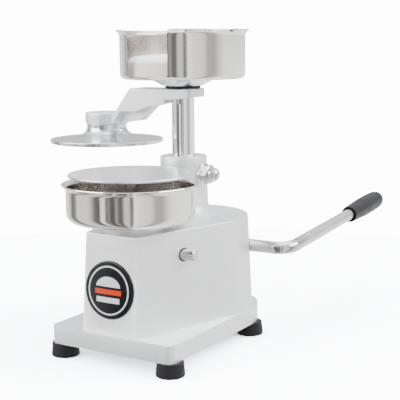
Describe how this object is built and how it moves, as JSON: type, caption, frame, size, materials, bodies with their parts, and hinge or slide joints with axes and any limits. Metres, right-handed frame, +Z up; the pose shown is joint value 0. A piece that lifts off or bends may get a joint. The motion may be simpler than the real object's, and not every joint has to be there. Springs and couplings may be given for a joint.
{
  "type": "patty press",
  "caption": "Hand-lever patty press: a swinging press plate comes down into a steel mould while the ejector sinks; lowering the lever lifts both. Paper holder on the post.",
  "frame": {"origin": "on the table at the centre of the four feet", "axes": "+Z up, -Y towards the operator at the badge side, +X to the operator's right where the lever leaves the casting"},
  "size_m": [0.2199, 0.3688, 0.2603],
  "materials": {
    "cast_aluminium": "satin cast aluminium",
    "rubber_feet": "black rubber",
    "zinc_steel": "zinc-plated steel",
    "badge_black": "domed black badge",
    "polished_steel": "polished stainless steel",
    "satin_plate": "fine turned aluminium",
    "chrome": "hard chrome",
    "black_nylon": "black nylon",
    "grip_black": "satin black grip",
    "paper": "interleaf paper"
  },
  "bodies": {
    "stand": {"base_casting": "cast_aluminium", "foot_front_left": "rubber_feet", "foot_front_right": "rubber_feet", "foot_rear_left": "rubber_feet", "foot_rear_right": "rubber_feet", "foot_screws": "zinc_steel", "foot_washers": "zinc_steel", "badge_disc": "badge_black", "mould_bowl": "polished_steel", "bowl_nut": "polished_steel", "shaft_bushes": "black_nylon", "brake_screw": "zinc_steel", "brake_pad": "black_nylon", "jam_nut": "polished_steel", "cap_nut": "polished_steel"},
    "lift": {"crosshead": "zinc_steel", "lifting_bridge": "zinc_steel", "bridge_screws": "zinc_steel"},
    "post": {"post": "chrome", "post_keeper": "zinc_steel", "keeper_screw": "zinc_steel", "arm": "cast_aluminium", "press_plate": "satin_plate", "plate_screw": "zinc_steel", "spacer_washer": "black_nylon", "hopper_cone": "satin_plate", "hopper": "polished_steel", "hopper_screw": "zinc_steel"},
    "paper": {"paper_stack": "paper"},
    "ejector": {"ejector_plate": "satin_plate", "ejector_rod": "polished_steel", "rod_collar": "zinc_steel"},
    "lever": {"lever_rod": "chrome", "grip": "grip_black", "crank": "zinc_steel", "crank_pins": "zinc_steel", "crank_screw": "zinc_steel"},
    "stop_pin": {"stop_pin": "polished_steel"}
  },
  "joints": [
    {"name": "lever_turn", "type": "hinge", "parent": "stand", "child": "lever", "pos_m": [0, 0.0707, 0.0763], "axis": [1, 0, 0], "range_deg": [0, 58]},
    {"name": "lift_slide", "type": "slide", "parent": "stand", "child": "lift", "axis": [0, 0, -1], "range_m": [0, 0.0346]},
    {"name": "post_turn", "type": "hinge", "parent": "lift", "child": "post", "pos_m": [0, 0.0384, 0.15], "axis": [0, 0, 1], "range_deg": [-20, 87.28]},
    {"name": "paper_lift", "type": "slide", "parent": "post", "child": "paper", "axis": [0, 0, 1], "range_m": [0, 0.06]},
    {"name": "ejector_slide", "type": "slide", "parent": "stand", "child": "ejector", "axis": [0, 0, -1], "range_m": [0, 0.0312]},
    {"name": "stop_pin_pull", "type": "slide", "parent": "stand", "child": "stop_pin", "axis": [1, 0, 0], "range_m": [0, 0.09]}
  ],
  "couplings": [
    {"joint": "lift_slide", "follows": "lever_turn", "m_per_rad": 0.034081},
    {"joint": "ejector_slide", "follows": "lever_turn", "m_per_rad": 0.030624}
  ]
}
